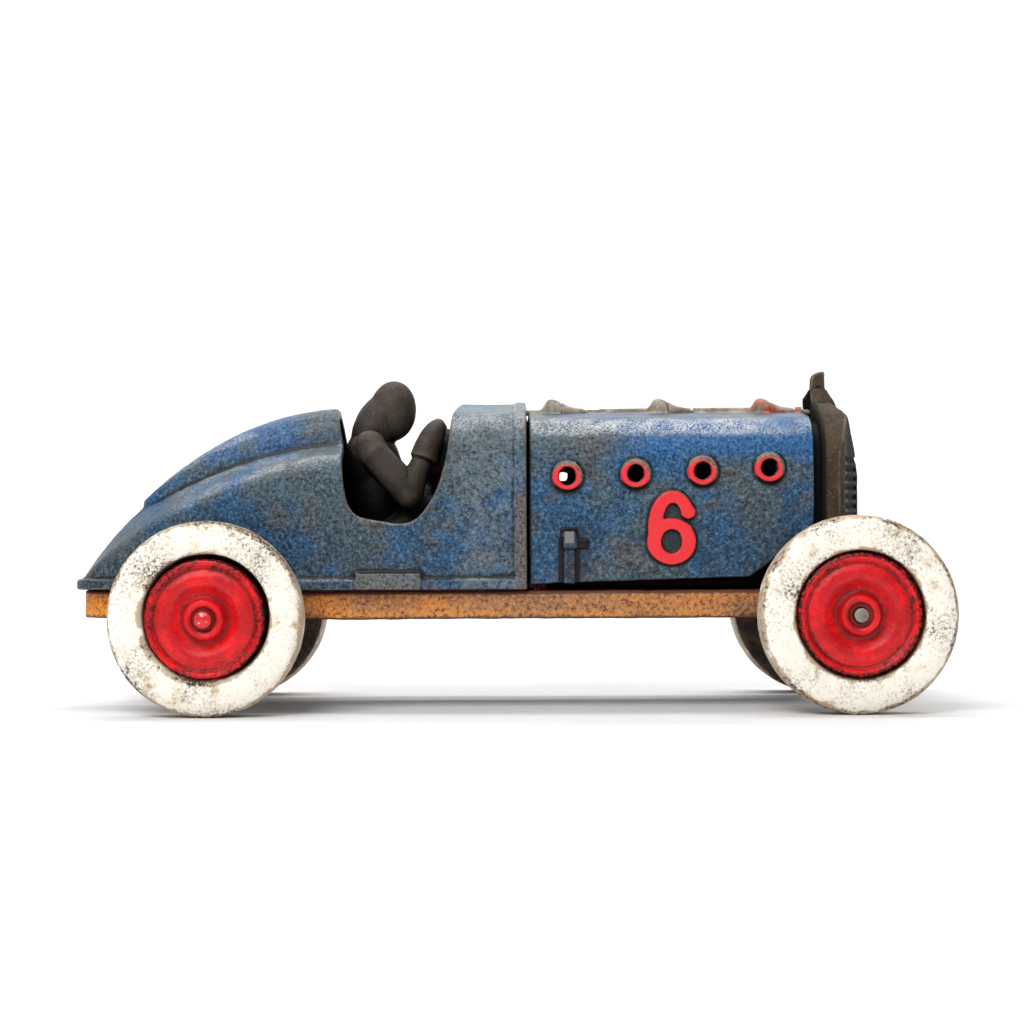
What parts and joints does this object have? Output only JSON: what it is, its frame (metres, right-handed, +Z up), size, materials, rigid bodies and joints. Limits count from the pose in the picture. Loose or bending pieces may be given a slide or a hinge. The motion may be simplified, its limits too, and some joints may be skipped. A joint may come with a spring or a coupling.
{
  "type": "toy racing car",
  "caption": "Toy racing car in painted cast iron, with a seated driver, lift-up bonnet doors over a cast engine, and free-rolling disc wheels.",
  "frame": {"origin": "on the ground, midway between the tail's tip and the front of the front tyres, in the middle of the width", "axes": "+X the way the car faces, +Y its left side, +Z up"},
  "size_m": [0.2389, 0.0912, 0.093],
  "materials": {
    "body_paint": "worn gloss",
    "door_paint": "worn gloss, with red and grey raised details",
    "chassis_paint": "worn, with brown patches",
    "wheel_paint": "glossy, chipped",
    "tyre_paint": "matt, stained and cracked",
    "engine_paint": "worn",
    "radiator_iron": "bare, dark patina",
    "driver_iron": "bare, dark patina",
    "steel": "dull"
  },
  "bodies": {
    "car_body": {"body_right": "body_paint", "body_left": "body_paint", "chassis": "chassis_paint", "engine": "engine_paint", "hinge_rod": "steel", "radiator": "radiator_iron", "driver": "driver_iron", "body_screw_front_right": "steel", "body_screw_front_left": "steel", "body_screw_rear_right": "steel", "body_screw_rear_left": "steel", "radiator_screw": "steel", "driver_rivet": "steel", "engine_rivet_rear": "steel", "engine_rivet_front": "steel"},
    "door_right": {"bonnet_door_right": "door_paint"},
    "door_left": {"bonnet_door_left": "door_paint"},
    "axle_set_front": {"axle_front": "steel"},
    "axle_set_rear": {"axle_rear": "steel"},
    "wheel_front_right": {"tyre_front_right": "tyre_paint", "wheel_disc_front_right": "wheel_paint"},
    "wheel_front_left": {"tyre_front_left": "tyre_paint", "wheel_disc_front_left": "wheel_paint"},
    "wheel_rear_right": {"tyre_rear_right": "tyre_paint", "wheel_disc_rear_right": "wheel_paint"},
    "wheel_rear_left": {"tyre_rear_left": "tyre_paint", "wheel_disc_rear_left": "wheel_paint"}
  },
  "joints": [
    {"name": "bonnet_door_right_open", "type": "hinge", "parent": "car_body", "child": "door_right", "pos_m": [0.046, 0, 0.0814], "axis": [-1, 0, 0], "range_deg": [0, 80]},
    {"name": "bonnet_door_left_open", "type": "hinge", "parent": "car_body", "child": "door_left", "pos_m": [0.046, 0, 0.0814], "axis": [1, 0, 0], "range_deg": [0, 80]},
    {"name": "axle_front_spin", "type": "hinge", "parent": "car_body", "child": "axle_set_front", "pos_m": [0.0944, 0, 0.0262], "axis": [0, 1, 0], "continuous": true},
    {"name": "wheel_front_right_spin", "type": "hinge", "parent": "axle_set_front", "child": "wheel_front_right", "pos_m": [0.0944, -0.038, 0.0262], "axis": [0, 1, 0], "continuous": true},
    {"name": "wheel_front_left_spin", "type": "hinge", "parent": "axle_set_front", "child": "wheel_front_left", "pos_m": [0.0944, 0.038, 0.0262], "axis": [0, 1, 0], "continuous": true},
    {"name": "axle_rear_spin", "type": "hinge", "parent": "car_body", "child": "axle_set_rear", "pos_m": [-0.0773, 0, 0.0258], "axis": [0, 1, 0], "continuous": true},
    {"name": "wheel_rear_right_spin", "type": "hinge", "parent": "axle_set_rear", "child": "wheel_rear_right", "pos_m": [-0.0773, -0.038, 0.0258], "axis": [0, 1, 0], "continuous": true},
    {"name": "wheel_rear_left_spin", "type": "hinge", "parent": "axle_set_rear", "child": "wheel_rear_left", "pos_m": [-0.0773, 0.038, 0.0258], "axis": [0, 1, 0], "continuous": true}
  ]
}
